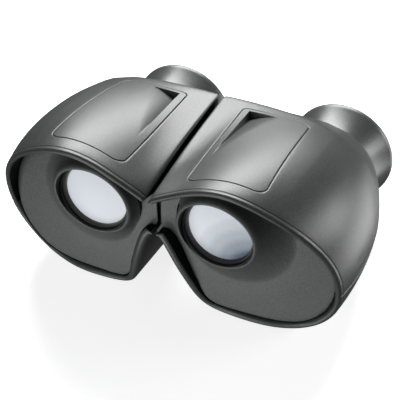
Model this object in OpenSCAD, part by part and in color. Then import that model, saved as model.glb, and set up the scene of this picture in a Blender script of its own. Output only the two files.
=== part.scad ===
// Compact wide-angle porro binoculars with a folding centre hinge and turning eyecups.
// Left and right are the user's, who looks along -Y: the left half is at +X, the right half at -X.
// Each piece is drawn in the left half about a datum: x = 0 between the halves, y = 0 and z = 0 at the
// centre of the objective lips. The origin of the finished part is the middle of its underside.

/* [Optics] */
// Half the distance between the objective axes
lens_x = 22.4; // [22:0.1:22.8]
// Radius of the objective elements
lens_r = 12; // [11.6:0.1:12]
// Half the distance between the eyepiece axes, opened for use
eye_x = 32; // [31.5:0.1:32.5]
// Drop from the objective axis to the eyepiece axis
eye_drop = 17.3; // [16.8:0.1:17.8]
// Plane that the rear prism's long face lies in
prism_y = 38; // [37.5:0.5:38.5]
// Width of a prism along its roof edge
prism_w = 16; // [14:0.5:16]

/* [Shell] */
// Wall thickness of the covers
wall = 1.8; // [1.5:0.1:2]
// Depth of the crease where the sides turn in to the eyepiece
crease_y = 52.5; // [52:0.5:54]
// Depth of the recess that the top pad lies in
pad_depth = 1; // [0.8:0.1:1.1]
// Angle that the objective lip leans forward at the top
lip_lean = 10; // [6:1:12]

/* [Eyepiece] */
// Radius of the eyecup at the gap
cup_base_r = 16.5; // [16.2:0.1:16.8]
// Radius of the eyecup at its rim
cup_rim_r = 19.2; // [18:0.1:19.6]
// Depth at which the eyecup starts
cup_y = 75.6; // [75.5:0.1:76]
// Depth at which the eyecup ends
cup_end = 89; // [88:0.5:91]

/* [Hinge] */
// Drop from the objective axis to the hinge axis
hinge_drop = 8.5; // [8.3:0.1:8.7]
// Radius of the hinge pin
pin_r = 1.5; // [1.2:0.1:1.6]
// Radius of the knuckles
knuckle_r = 3.4; // [3.2:0.1:3.4]

/* [Hidden] */

$fn = 96;

// Colours
shell_grey = [0.36, 0.37, 0.36];
panel_grey = [0.28, 0.29, 0.28];
black_part = [0.08, 0.09, 0.09];
metal_part = [0.72, 0.72, 0.70];
glass_part = [0.70, 0.80, 0.90, 0.6];

// The datum's height over the underside, and its distance behind the front of the box
datum_z = 41.47;
datum_y = -41.27;

// --- Smooth curves: uniform cubic splines through columns and rows of control points ---

function padded(p) =
    concat([2 * p[0] - p[1]], p, [2 * p[len(p) - 1] - p[len(p) - 2]]);
function spline_weights(t) =
    [pow(1 - t, 3), 3 * pow(t, 3) - 6 * t * t + 4, -3 * pow(t, 3) + 3 * t * t + 3 * t + 1, pow(t, 3)] / 6;
function spline_at(q, s) =
    let (i = min(floor(s), len(q) - 4), w = spline_weights(s - i))
    w[0] * q[i] + w[1] * q[i + 1] + w[2] * q[i + 2] + w[3] * q[i + 3];
function mix(a, b, t) = a + (b - a) * t;
function unit(v) = v / norm(v);

// Outline of one half, seen from the front, from the hinge up over the lens, down the side, under the
// belly and up the notch: at the front rim, at the rear crease, and how far it swells in between
rim_outline = [[0.35, -4.5], [0.6, 2], [0.85, 9.6], [1.3, 10.6], [12, 18.3], [26, 23.2], [40, 18.4],
    [52, 9.5], [60, -3], [62, -17], [60, -29], [52, -39.5], [40, -42.5], [26, -40.5], [13, -39.5],
    [9, -28], [4.3, -14.2], [2.2, -8.8], [0.35, -7.4]];
crease_outline = [[0.35, -4.5], [0.65, 5], [1, 16.4], [1.6, 17.5], [13, 18], [27, 17.3], [40, 15.2],
    [51, 8.2], [57.5, -3], [59.5, -17], [58, -29], [50, -39], [39, -41.5], [26, -41], [13, -40],
    [9, -28], [4.2, -14], [1.2, -7], [0.35, -4.5]];
swell = [0, 0, 0, 0, 0.2, 0.3, 0.8, 1, 0.9, 0.5, 0.2, 0.1, 0, 0, 0, 0, 0, 0, 0];
// Share by which the front edge is set back behind the panel, where the halves face each other
set_back_gap = 1.2;
set_back = [1, 1, 1, 0, 0, 0, 0, 0, 0, 0, 0, 0, 0, 0, 0, 0, 0, 0, 0];
// How far inside the rim the front panel ends
panel_inset = [0.15, 0.3, 2.5, 2.4, 2.1, 2.1, 2.1, 2.1, 2.1, 2.1, 2.1, 2.1, 2.1, 2.1, 2.3, 3, 3.6, 3.2, 2.2];
rim_curve = padded(rim_outline);
crease_curve = padded(crease_outline);
swell_curve = padded(swell);
set_back_curve = padded(set_back);
inset_curve = padded(panel_inset);
last_column = len(rim_outline) - 1;

// How far back the rim and the front panel lie at a point of the front view
function rim_y(p) =
    let (u = p[0] / 30, w = p[1] / 30)
    -0.4 - 9.8 * u - 5.3 * w + 6.3 * u * u - 0.8 * u * w + 3.8 * w * w;
function panel_y(p) =
    let (u = p[0] / 30, w = p[1] / 30)
    4.8 + 2.7 * u - 0.6 * w + 0.8 * u * u + 1.1 * u * w + 2.6 * w * w;

// Stations from rim to crease: share of the depth, share of the change of outline, swell in mm
stations = [[0, 0, 0], [0.2, 0.05, 2.6], [0.45, 0.3, 4], [0.75, 0.65, 3.2], [0.95, 0.95, 0.8]];
last_row = len(stations) + 3;
collar_r = 17;
panel_t = 1.4;
collar_y = 75;
eye_at = [eye_x, -eye_drop];
swell_centre = [30, -10];

function lift(p, y) = [p[0], y, p[1]];
function skin_rows(c) =
    let (f = spline_at(rim_curve, c), e = spline_at(crease_curve, c), w = spline_at(swell_curve, c),
        out = unit(f - swell_centre) * w, r = eye_at + collar_r * unit(e - eye_at),
        fy = mix(rim_y(f), panel_y(f) + panel_t + set_back_gap, spline_at(set_back_curve, c)))
    concat([for (s = stations) lift(mix(f, e, s[1]) + out * s[2], mix(fy, crease_y, s[0]))],
        [lift(e, crease_y + 0.6),
         lift(mix(e, r, 0.1), mix(crease_y, collar_y, 0.14) + 0.6),
         lift(mix(e, r, 0.62), mix(crease_y, collar_y, 0.8)),
         lift(r, collar_y)]);
// A point on the outer skin: c counts columns round the outline, v counts stations from rim to collar
function skin(c, v) = spline_at(padded(skin_rows(c)), v);
function skin_normal(c, v) =
    let (h = 0.02, c0 = max(c - h, 0), c1 = min(c + h, last_column), v0 = max(v - h, 0),
        v1 = min(v + h, last_row))
    unit(cross(skin(c, v1) - skin(c, v0), skin(c1, v) - skin(c0, v)));
// The point at a depth under the skin
function under(c, v, d) = skin(c, v) + skin_normal(c, v) * d;

// Closed mesh between two grids of points, each a list of rows of equal length; with wrap the last row
// joins the first. The first grid is the one that shows its rows running clockwise from its columns.
module between(outer, inner, wrap = false) {
    rows = len(outer);
    cols = len(outer[0]);
    count = rows * cols;
    last = cols - 1;
    spans = wrap ? rows - 1 : rows - 2;
    points = concat([for (r = outer) for (p = r) p], [for (r = inner) for (p = r) p]);
    function at(i, j) = (i % rows) * cols + j;
    outer_faces = [for (i = [0:spans]) for (j = [0:last - 1]) each [
        [at(i, j), at(i, j + 1), at(i + 1, j + 1)], [at(i, j), at(i + 1, j + 1), at(i + 1, j)]]];
    inner_faces = [for (f = outer_faces) [f[2] + count, f[1] + count, f[0] + count]];
    edges = concat(
        wrap ? [] : [for (j = [0:last - 1]) each [[at(0, j), at(0, j + 1)], [at(rows - 1, j + 1), at(rows - 1, j)]]],
        [for (i = [0:spans]) each [[at(i, last), at(i + 1, last)], [at(i + 1, 0), at(i, 0)]]]);
    edge_faces = [for (e = edges) each [[e[1], e[0], e[0] + count], [e[1], e[0] + count, e[1] + count]]];
    polyhedron(points, concat(outer_faces, inner_faces, edge_faces), convexity = 10);
}

// --- Small helpers ---

module along_y(at, y) translate([at[0], y, at[1]]) rotate([-90, 0, 0]) children();
module rod(at, y0, y1, r) along_y(at, y0) cylinder(h = y1 - y0, r = r);
module tube(at, y0, y1, outer, inner) {
    difference() {
        rod(at, y0, y1, outer);
        rod(at, y0 - 1, y1 + 1, inner);
    }
}
module plate(outline, y0, y1) translate([0, y1, 0]) rotate([90, 0, 0]) linear_extrude(y1 - y0) polygon(outline);
// A turned piece about an axis along Y; its outline holds radius and depth
module turned(at, outline) along_y(at, 0) rotate_extrude() polygon(outline);
lens_at = [lens_x, 0];
hinge_at = [0, -hinge_drop];

// --- Covers, pad and front panel ---

seam_c = 9.2;
pad_rows = [0.6, 3.95];
edge_gap = 0.02;
function pad_inner(v) = mix(3.93, 3.82, v / 4);
function pad_outer(v) = mix(5.9, 5.55, v / 4);
function upper_columns(v) = concat([0, 0.7, 1.5, 2.3, 2.7, 3.1, 3.5],
    [pad_inner(v) - edge_gap, pad_inner(v) + edge_gap],
    [for (k = [1:4]) mix(pad_inner(v), pad_outer(v), k / 5)],
    [pad_outer(v) - edge_gap, pad_outer(v) + edge_gap],
    [6.4, 6.9, 7.4, 8, 8.6, seam_c]);
upper_rows = [0, 0.3, pad_rows[0] - edge_gap, pad_rows[0] + edge_gap, 1.4, 2.2, 3,
    pad_rows[1] - edge_gap, pad_rows[1] + edge_gap, 4.5, 5, 5.5, 6.2, 7.1, last_row];
function in_pad(c, v) =
    c > pad_inner(v) && c < pad_outer(v) && v > pad_rows[0] && v < pad_rows[1];
hinge_relief_r = knuckle_r + 0.4;

module hinge_relief() rod(hinge_at, 7, 53.4, hinge_relief_r);

module upper_cover() color(shell_grey) difference() {
    between(
        [for (v = upper_rows) [for (c = upper_columns(v)) under(c, v, wall)]],
        [for (v = upper_rows) [for (c = upper_columns(v)) under(c, v, in_pad(c, v) ? pad_depth : 0)]]);
    hinge_relief();
}

lower_columns = [seam_c + 0.02, 9.7, 10.2, 10.7, 11.2, 11.8, 12.5, 13.2, 13.7, 14.1, 14.5, 15, 15.6, 16.2,
    16.7, 17.2, 17.6, 17.96];
lower_rows = [0, 0.4, 1, 1.8, 2.8, 3.8, 4.5, 5, 5.5, 6.2, 7.1, last_row];
cover_screw_at = [[24, 24], [24, 44], [44, 34]];

module lower_cover() color(shell_grey) difference() {
    between(
        [for (v = lower_rows) [for (c = lower_columns) under(c, v, wall)]],
        [for (v = lower_rows) [for (c = lower_columns) under(c, v, 0)]]);
    hinge_relief();
    for (p = cover_screw_at) translate([p[0], p[1], -50]) cylinder(h = 30, r = 1.1);
}

pad_steps = 6;
pad_grid_rows = [for (k = [0:pad_steps])
    mix(pad_rows[0] + 2 * edge_gap, pad_rows[1] - 2 * edge_gap, k / pad_steps)];
function pad_columns(v) = [for (k = [0:pad_steps])
    mix(pad_inner(v) + 2 * edge_gap, pad_outer(v) - 2 * edge_gap, k / pad_steps)];
module top_pad() color(shell_grey) between(
    [for (v = pad_grid_rows) [for (c = pad_columns(v)) under(c, v, pad_depth - 0.08)]],
    [for (v = pad_grid_rows) [for (c = pad_columns(v)) under(c, v, 0)]]);

// The panel runs out from the objective lip down a flare to the inside of the rim
lip_r = 13.4;
throat_r = lens_r + 0.9;
flare_centre = [27, -4];
flare_r = 19;
flare_foot_min = 16.4;
lip_wall = 0.8;
panel_columns = [for (k = [0:35]) k / 2];
function edge_point(c) =
    let (h = 0.02, c0 = max(c - h, 0), c1 = min(c + h, last_column),
        t = unit(spline_at(rim_curve, c1) - spline_at(rim_curve, c0)))
    spline_at(rim_curve, c) + spline_at(inset_curve, c) * [t[1], -t[0]];
function panel_edge(c) = let (p = edge_point(c)) [max(p[0], 0.5 + 0.02 * (p[1] + hinge_drop)), p[1]];
function flare_reach(d) =
    let (m = flare_centre - lens_at, b = d * m) b + sqrt(flare_r * flare_r - m * m + b * b);
// Shares of the flare's width, and the share of the lip's height that is left there
flare_steps = [[0.12, 0.7], [0.3, 0.38], [0.55, 0.14], [1, 0]];
function panel_line(c, back) =
    let (e = panel_edge(c), d = unit(e - lens_at), reach = norm(e - lens_at),
        foot = max(flare_foot_min, min(flare_reach(d), reach - 1.2)), lip_y = -lip_r * d[1] * tan(lip_lean),
        wall_r = back ? throat_r + lip_wall : throat_r, drop = back ? panel_t + 0.2 : 0)
    concat([lift(lens_at + d * wall_r, lip_y + 4.5), lift(lens_at + d * wall_r, lip_y + 0.5 + drop * 1.4)],
        back ? [] : [lift(lens_at + d * lip_r, lip_y)],
        back ? [lift(lens_at + d * (wall_r + 0.1), lip_y + 0.5 + drop * 1.3)] : [],
        [for (s = flare_steps) let (p = lens_at + d * mix(lip_r + 0.9, foot, s[0]))
            lift(p, mix(panel_y(p), lip_y + 0.6, s[1]) + drop)],
        [for (k = [0.5, 1]) let (p = lens_at + d * mix(foot, reach, k)) lift(p, panel_y(p) + drop)]);
module front_panel() color(panel_grey) between(
    [for (c = panel_columns) panel_line(c, false)], [for (c = panel_columns) panel_line(c, true)], wrap = true);

// --- Objective ---

cell_front = 1.8;
cell_back = 20.5;
cell_r = lens_r + 0.7;
cell_bore = lens_r + 0.1;
mouth_r = lens_r + 0.3;
mouth_back = 2.9;
crown_front = 3;
crown_back = 9;
crown_radii = [45, 38];
flint_back = 10.7;

module objective_cell() color(black_part) difference() {
    union() {
        rod(lens_at, cell_front, cell_back, cell_r);
        rod(lens_at, lens_plate_y[1] + 0.05, cell_back, cell_r + 1);
    }
    rod(lens_at, cell_front - 1, mouth_back, mouth_r);
    rod(lens_at, cell_front - 1, flint_back, cell_bore);
    rod(lens_at, flint_back - 1, 12, lens_r - 0.8);
    rod(lens_at, 12, cell_back + 1, lens_r - 0.4);
}
module objective_crown() color(glass_part) intersection() {
    rod(lens_at, crown_front, crown_back, lens_r);
    along_y(lens_at, crown_front + crown_radii[0]) sphere(r = crown_radii[0]);
    along_y(lens_at, crown_back - crown_radii[1]) sphere(r = crown_radii[1]);
}
module objective_flint() color(glass_part) difference() {
    rod(lens_at, 6.5, flint_back, lens_r);
    along_y(lens_at, crown_back - crown_radii[1]) sphere(r = crown_radii[1]);
}
module objective_retainer() color(black_part) tube(lens_at, mouth_back, 4.4, lens_r + 0.05, lens_r - 0.6);

// --- Optical frame ---

frame_inner_x = 6.1;
lens_plate_y = [16.5, 19];
prism_plate_t = 2;
front_post_at = [[9.5, 8.5], [38.2, 2.5], [20, -30]];
rear_post_at = [[40.4, -2.8], [18.2, -27], [42.8, -30.2]];
post_r = 1.6;
lens_plate_outline = [[frame_inner_x, 11], [12, 14], [33, 14], [41, 6], [41, -4], [30, -20], [26, -33],
    [16, -33], [10.5, -21], [frame_inner_x, -8]];
prism_plate_outline = [[frame_inner_x, 8], [14, 12.5], [36, 11], [46, 2], [46.5, -18], [46, -33], [18, -34],
    [12.5, -27], [8.5, -16], [frame_inner_x, -4]];

// Each prism moves the axis sideways by half its long face, the two at right angles
offset_xz = eye_at - lens_at;
prism_shift = norm(offset_xz) / sqrt(2);
front_tilt = atan2(offset_xz[1], offset_xz[0]) + 45;
rear_tilt = front_tilt - 90;
middle_at = lens_at + prism_shift * [cos(rear_tilt), sin(rear_tilt)];
rear_prism_at = (lens_at + middle_at) / 2;
front_prism_at = (middle_at + eye_at) / 2;
aperture_r = prism_shift / 2 - 0.3;
apex_cut = 0.7;
clip_w = 5;
clip_t = 0.5;
clip_foot = prism_shift + 4;
screw_at = clip_foot - 1.5;
tab_screw_at = [[7.6, 7.6], [9.3, 3]];

function toward(tilt, d) = d * [cos(tilt), sin(tilt)];

// Draws an outline of length and height, upright on the prism plate; side is 1 behind it, -1 in front
module on_plate(at, tilt, side, width)
    translate([at[0], side > 0 ? prism_y : prism_y - prism_plate_t, at[1]])
        rotate([0, -tilt, 0])
            translate([0, 0, -width / 2])
                linear_extrude(width) scale_depth(side) children();
module scale_depth(side) if (side > 0) children(); else mirror([0, 1]) children();

module prism_outline() polygon([[-prism_shift, 0], [prism_shift, 0],
    [apex_cut, prism_shift - apex_cut], [-apex_cut, prism_shift - apex_cut]]);
module clip_outline() {
    s = prism_shift + 0.3;
    o = s + clip_t * sqrt(2);
    top = prism_shift - apex_cut + 0.1;
    polygon([[-clip_foot, 0], [-s, 0], [top - s, top], [s - top, top], [s, 0], [clip_foot, 0],
        [clip_foot, clip_t], [o - clip_t, clip_t], [o - top - clip_t, top + clip_t],
        [top + clip_t - o, top + clip_t], [clip_t - o, clip_t], [-clip_foot, clip_t]]);
}
module front_prism() color(glass_part) on_plate(front_prism_at, front_tilt, -1, prism_w) prism_outline();
module rear_prism() color(glass_part) on_plate(rear_prism_at, rear_tilt, 1, prism_w) prism_outline();
module clip_holes(at, tilt) for (s = [-1, 1])
    rod(at + toward(tilt, s * screw_at), prism_y - 5, prism_y + 5, 0.8);
module front_clip() color(metal_part) difference() {
    on_plate(front_prism_at, front_tilt, -1, clip_w) clip_outline();
    clip_holes(front_prism_at, front_tilt);
}
module rear_clip() color(metal_part) difference() {
    on_plate(rear_prism_at, rear_tilt, 1, clip_w) clip_outline();
    clip_holes(rear_prism_at, rear_tilt);
}

module lens_plate() color(black_part) difference() {
    plate(lens_plate_outline, lens_plate_y[0], lens_plate_y[1]);
    rod(lens_at, 10, 30, cell_r + 0.05);
    rod(tab_screw_at[0], 10, 30, 0.8);
}
module prism_plate() color(black_part) difference() {
    plate(prism_plate_outline, prism_y - prism_plate_t, prism_y);
    for (p = [lens_at, middle_at, eye_at]) rod(p, 30, 45, aperture_r);
    clip_holes(front_prism_at, front_tilt);
    clip_holes(rear_prism_at, rear_tilt);
    rod(tab_screw_at[1], 30, 45, 0.8);
}
module standoffs() color(metal_part) {
    for (p = front_post_at) rod(p, lens_plate_y[1], prism_y - prism_plate_t, post_r);
    for (p = rear_post_at) rod(p, prism_y, socket_front, post_r);
}

// A pan-head screw whose head's underside is at depth y; dir is 1 where it drives towards +Y
module screw(at, y, dir, length) {
    translate([at[0], y, at[1]]) rotate([dir > 0 ? -90 : 90, 0, 0]) difference() {
        union() {
            cylinder(h = length, r = 0.75);
            translate([0, 0, -0.8]) cylinder(h = 0.8, r = 1.4);
        }
        translate([-1.1, -0.2, -1.2]) cube([2.2, 0.4, 0.8]);
    }
}
module frame_screws() color(metal_part) {
    for (s = [-1, 1]) {
        screw(front_prism_at + toward(front_tilt, s * screw_at), prism_y - prism_plate_t - clip_t, 1, 2.3);
        screw(rear_prism_at + toward(rear_tilt, s * screw_at), prism_y + clip_t, -1, 2.3);
    }
    screw(tab_screw_at[0], lens_plate_y[0] - tab_t, 1, 3.5);
    screw(tab_screw_at[1], prism_y + tab_t, -1, 3.4);
}

// --- Centre hinge ---

tab_t = 1.5;
pair_y = [[9, 20], [40, 51]];
single_y = [20.6, 39.4];
web_outline = [[0.8, -8.3], [3.9, -7.5], [6, -5.5], [6, 8], [4, 8], [4, -4], [2, -6]];

module bracket(spans, bore_r) difference() {
    union() {
        for (s = spans) {
            rod(hinge_at, s[0], s[1], knuckle_r);
            plate(web_outline, s[0], s[1]);
        }
        plate([[4, -4], [6, -4], [6, 8], [4, 8]], 9, 51);
        plate([[4, 4.5], [9, 4.5], [9, 10.5], [4, 10.5]], lens_plate_y[0] - tab_t, lens_plate_y[0]);
        plate([[4, 0], [11.5, 0], [11.5, 6], [4, 6]], prism_y, prism_y + tab_t);
    }
    rod(hinge_at, 0, 60, bore_r);
    rod(tab_screw_at[0], 10, 17, 0.8);
    rod(tab_screw_at[1], prism_y - 1, 45, 0.8);
}
module hinge_pin() color(metal_part) rod(hinge_at, 8.2, 51.8, pin_r);
module hinge_washers() color(metal_part) {
    tube(hinge_at, pair_y[0][1] + 0.05, single_y[0] - 0.05, knuckle_r - 0.2, pin_r + 0.05);
    tube(hinge_at, single_y[1] + 0.05, pair_y[1][0] - 0.05, knuckle_r - 0.2, pin_r + 0.05);
}
module hinge_caps() color(black_part) {
    difference() {
        rod(hinge_at, 7.4, 9, knuckle_r - 0.2);
        rod(hinge_at, 8.2, 10, pin_r);
    }
    difference() {
        rod(hinge_at, 51, 52.6, knuckle_r - 0.2);
        rod(hinge_at, 50, 51.8, pin_r);
    }
}

// --- Eyepiece ---

socket_front = 60;
socket_back = 75.2;
sleeve_r = 13.2;
barrel_r = 11.9;
guide_at = eye_at + 14.6 * [cos(150), sin(150)];
guide_r = 0.75;
barrel_y = [57, 80];
cup_hollow_y = 82.5;
cup_wall = 1.5;

module eye_socket() color(black_part) difference() {
    union() {
        rod(eye_at, socket_front, socket_back, sleeve_r + 1.95);
        rod(eye_at, socket_front, socket_front + 1.5, 18);
    }
    rod(eye_at, socket_front - 1, socket_back + 1, sleeve_r + 0.05);
    rod(guide_at, socket_front - 1, socket_front + 4, guide_r);
}
module guide_pin() color(metal_part) rod(guide_at, 54.5, socket_front + 4, guide_r);
// The turning cup: a sleeve in the socket, and a flared hollow cup behind the gap
module eyecup() color(shell_grey) difference() {
    union() {
        rod(eye_at, socket_front + 0.1, cup_y + 1, sleeve_r);
        turned(eye_at, [[0, cup_y], [cup_base_r, cup_y], [mix(cup_base_r, cup_rim_r, 0.45), cup_y + 8],
            [cup_rim_r, cup_end - 1.6], [cup_rim_r, cup_end - 0.7], [cup_rim_r - 0.7, cup_end],
            [0, cup_end]]);
    }
    rod(eye_at, socket_front - 1, cup_end + 1, barrel_r + 0.05);
    turned(eye_at, [[0, cup_hollow_y], [13.6, cup_hollow_y], [cup_rim_r - cup_wall, cup_end - 1],
        [cup_rim_r - cup_wall + 0.5, cup_end], [cup_rim_r - cup_wall + 0.5, cup_end + 1], [0, cup_end + 1]]);
}
// Screwed to the front of the sleeve, too wide to pull out through the socket
module cup_retainer() color(black_part) tube(eye_at, socket_front - 1.3, socket_front - 0.1, 13.75, barrel_r + 0.3);
// The lens barrel slides in the cup's sleeve; its ear runs on the guide pin
module eye_barrel() color(black_part) difference() {
    union() {
        rod(eye_at, barrel_y[0] - 0.5, barrel_y[1], barrel_r);
        rod(guide_at, barrel_y[0] - 1.5, barrel_y[0] - 0.3, 2);
        rod(eye_at, barrel_y[0] - 1.5, barrel_y[0] - 0.3, barrel_r + 0.8);
    }
    rod(eye_at, barrel_y[0] - 2, barrel_y[0] + 1.5, 9.6);
    rod(eye_at, barrel_y[0] + 1.5, barrel_y[1] + 1, 10.8);
    rod(guide_at, barrel_y[0] - 2, barrel_y[0] + 1, guide_r + 0.05);
}
module field_lens() color(glass_part) intersection() {
    rod(eye_at, barrel_y[0] + 1.5, barrel_y[0] + 6, 10.7);
    along_y(eye_at, barrel_y[0] + 6 - 32) sphere(r = 32);
}
module lens_spacer() color(black_part) tube(eye_at, barrel_y[0] + 6.05, 73.3, 10.75, 9.9);
module eye_lens() color(glass_part) intersection() {
    rod(eye_at, 73.4, 78.4, 10.7);
    along_y(eye_at, 73.4 + 40) sphere(r = 40);
    along_y(eye_at, 78.4 - 34) sphere(r = 34);
}
module eye_retainer() color(black_part) tube(eye_at, 78.3, 79.4, 10.75, 9.6);

// Cover screws, driven up from below, their heads sunk in the lower cover
module cover_screws() color(metal_part) for (p = cover_screw_at)
    translate([p[0], p[1], -40.3]) {
        cylinder(h = 6.5, r = 0.75);
        difference() {
            cylinder(h = 0.9, r = 1.05);
            translate([-0.9, -0.2, -0.1]) cube([1.8, 0.4, 0.5]);
        }
    }

// --- The two halves, in the part's own frame ---

module place() translate([0, datum_y, datum_z]) children();
module left() place() children();
module right() place() mirror([1, 0, 0]) children();

right() upper_cover();  // right_upper_cover
right() lower_cover();  // right_lower_cover
right() top_pad();  // right_top_pad
right() front_panel();  // right_front_panel
right() objective_cell();  // right_objective_cell
right() objective_crown();  // right_objective_crown
right() objective_flint();  // right_objective_flint
right() objective_retainer();  // right_objective_retainer
right() lens_plate();  // right_lens_plate
right() prism_plate();  // right_prism_plate
right() standoffs();  // right_standoffs
right() front_prism();  // right_front_prism
right() rear_prism();  // right_rear_prism
right() front_clip();  // right_front_clip
right() rear_clip();  // right_rear_clip
right() frame_screws();  // right_frame_screws
color(black_part) right() bracket(pair_y, pin_r);  // right_hinge_bracket
right() cover_screws();  // right_cover_screws
right() eye_socket();  // right_eye_socket
right() guide_pin();  // right_guide_pin
right() eye_barrel();  // right_eye_barrel
right() field_lens();  // right_field_lens
right() eye_lens();  // right_eye_lens
right() lens_spacer();  // right_lens_spacer
right() eye_retainer();  // right_eye_retainer
right() eyecup();  // right_eyecup
right() cup_retainer();  // right_cup_retainer
left() upper_cover();  // left_upper_cover
left() lower_cover();  // left_lower_cover
left() top_pad();  // left_top_pad
left() front_panel();  // left_front_panel
left() objective_cell();  // left_objective_cell
left() objective_crown();  // left_objective_crown
left() objective_flint();  // left_objective_flint
left() objective_retainer();  // left_objective_retainer
left() lens_plate();  // left_lens_plate
left() prism_plate();  // left_prism_plate
left() standoffs();  // left_standoffs
left() front_prism();  // left_front_prism
left() rear_prism();  // left_rear_prism
left() front_clip();  // left_front_clip
left() rear_clip();  // left_rear_clip
left() frame_screws();  // left_frame_screws
color(black_part) left() bracket([single_y], pin_r + 0.05);  // left_hinge_bracket
left() cover_screws();  // left_cover_screws
left() eye_socket();  // left_eye_socket
left() guide_pin();  // left_guide_pin
left() eye_barrel();  // left_eye_barrel
left() field_lens();  // left_field_lens
left() eye_lens();  // left_eye_lens
left() lens_spacer();  // left_lens_spacer
left() eye_retainer();  // left_eye_retainer
left() eyecup();  // left_eyecup
left() cup_retainer();  // left_cup_retainer
place() hinge_pin();
place() hinge_washers();
place() hinge_caps();
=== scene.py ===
import math

import bmesh
import bpy
import numpy as np
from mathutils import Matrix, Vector


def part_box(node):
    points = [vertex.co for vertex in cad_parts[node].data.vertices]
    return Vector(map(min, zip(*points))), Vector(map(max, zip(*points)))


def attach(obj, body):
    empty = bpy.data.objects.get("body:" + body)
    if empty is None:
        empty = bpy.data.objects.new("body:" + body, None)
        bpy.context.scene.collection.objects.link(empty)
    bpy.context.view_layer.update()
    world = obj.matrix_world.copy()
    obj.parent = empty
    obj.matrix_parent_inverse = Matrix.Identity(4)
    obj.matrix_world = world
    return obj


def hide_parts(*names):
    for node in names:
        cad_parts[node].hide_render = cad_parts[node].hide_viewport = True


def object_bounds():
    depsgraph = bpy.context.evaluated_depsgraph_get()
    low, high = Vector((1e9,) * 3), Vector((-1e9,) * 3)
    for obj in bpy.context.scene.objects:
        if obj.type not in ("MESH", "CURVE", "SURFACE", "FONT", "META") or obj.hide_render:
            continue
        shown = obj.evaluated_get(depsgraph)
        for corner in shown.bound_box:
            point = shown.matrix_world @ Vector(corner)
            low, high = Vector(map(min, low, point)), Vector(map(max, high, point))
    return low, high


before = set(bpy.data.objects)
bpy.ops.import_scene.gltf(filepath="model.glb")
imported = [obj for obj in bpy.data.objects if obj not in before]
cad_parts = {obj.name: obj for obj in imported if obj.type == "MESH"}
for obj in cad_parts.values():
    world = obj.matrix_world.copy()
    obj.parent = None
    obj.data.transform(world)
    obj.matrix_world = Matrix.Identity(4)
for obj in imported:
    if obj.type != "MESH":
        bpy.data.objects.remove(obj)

CAD_BOX = [list(corner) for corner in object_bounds()]
MM = 0.001
# The side of x = 0 that each half lies on
SIDES = {"right": -1, "left": 1}
# Step for slopes that are taken as differences
STEP = 0.02

# --- Places that the frame gives ---

# The objective cell's front edge lies this far behind the datum
CELL_FRONT = 1.8
cell_low, cell_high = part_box("left_objective_cell")
cup_low, cup_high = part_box("left_eyecup")
pin_low, pin_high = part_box("hinge_pin")
DATUM = np.array([0, cell_low.y / MM - CELL_FRONT, (cell_low.z + cell_high.z) / 2 / MM])
LENS = np.array([(cell_low.x + cell_high.x) / 2 / MM, 0])
EYE = np.array([(cup_low.x + cup_high.x) / 2 / MM, (cup_low.z + cup_high.z) / 2 / MM - DATUM[2]])
CUP_RIM_R = (cup_high.x - cup_low.x) / 2 / MM
CUP_END = cup_high.y / MM - DATUM[1]
HINGE_Z = (pin_low.z + pin_high.z) / 2 / MM - DATUM[2]

# --- Camera ---

CAMERA_AZIMUTH = 25.78
CAMERA_ELEVATION = 35.44
CAMERA_AT = (0.1773, -0.37297, 0.31627)
CAMERA_SENSOR = 36
CAMERA_LENS = 130.86
camera = bpy.data.objects.new("camera", bpy.data.cameras.new("camera"))
bpy.context.scene.collection.objects.link(camera)
bpy.context.scene.camera = camera
camera.location = CAMERA_AT
camera.rotation_euler = (math.radians(90 - CAMERA_ELEVATION), 0, math.radians(CAMERA_AZIMUTH))
camera.data.sensor_width = CAMERA_SENSOR
camera.data.lens = CAMERA_LENS
camera.data.clip_start = 0.01
camera.data.clip_end = 20

# --- The shell's skin: cubic splines through the outlines at the rim and at the rear crease ---

# Outlines in the front view as (x, z). Their columns start low in the centre groove and go over the top, down
# the outer side and along the bottom to the apex of the notch.
RIM = [(0.35, -4.5), (0.46, 2), (0.66, 8), (0.72, 9.5), (1.5, 10.4), (12, 17.5), (26, 23.2), (40, 18.4),
       (52, 9.5), (60, -3), (62, -17), (60, -29), (52, -39.5), (40, -42.5), (26, -40.5), (13, -39.5), (9, -28),
       (4.3, -14.2), (2.2, -8.8), (0.35, -7.4)]
CREASE = [(0.35, -4.5), (0.55, 5), (0.86, 16.4), (0.92, 17.8), (1.7, 17.9), (13, 18), (27, 17.3), (40, 15.2),
          (51, 8.2), (57.5, -3), (59.5, -17), (58, -29), (50, -39), (39, -41.5), (26, -41), (13, -40),
          (9, -28), (4.2, -14), (1.2, -7), (0.35, -4.5)]
# The outlines have one more point than the columns: it keeps the shoulder beside the centre groove crisp,
# between the columns CRISP_START and CRISP_END
CRISP_START, CRISP_END = 1, 4
LAST_COLUMN = len(RIM) - 2
# Stations from rim to crease: the share of the way back, the share of the change of outline, and the swelling
STATIONS = [(0, 0, 0), (0.2, 0.05, 2.6), (0.45, 0.3, 4), (0.75, 0.65, 3.2), (0.95, 0.95, 0.8)]
LAST_ROW = len(STATIONS) + 3
# Each column's share of the swelling, which points away from SWELL_CENTRE
SWELL = [0, 0, 0, 0, 0.2, 0.3, 0.8, 1, 0.9, 0.5, 0.2, 0.1, 0, 0, 0, 0, 0, 0, 0]
SWELL_CENTRE = np.array([30, -10])
# The shoulder beside the centre groove is arched upwards by this much at each station, over these columns
ARCH = (0, 1.5, 2.2, 1.4, 0)
ARCH_RISE, ARCH_FALL = (0.5, 2), (3.8, 2.9)
# The rim's tips reach forwards beside the groove, and so does its low outer part, over these columns
TIP_REACH, TIP_FADE = 2.2, (4.6, 2.6)
LOW_REACH, LOW_RISE, LOW_FADE = 0.7, (7.5, 10), (13.6, 12)
CREASE_Y = 52.5
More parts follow.
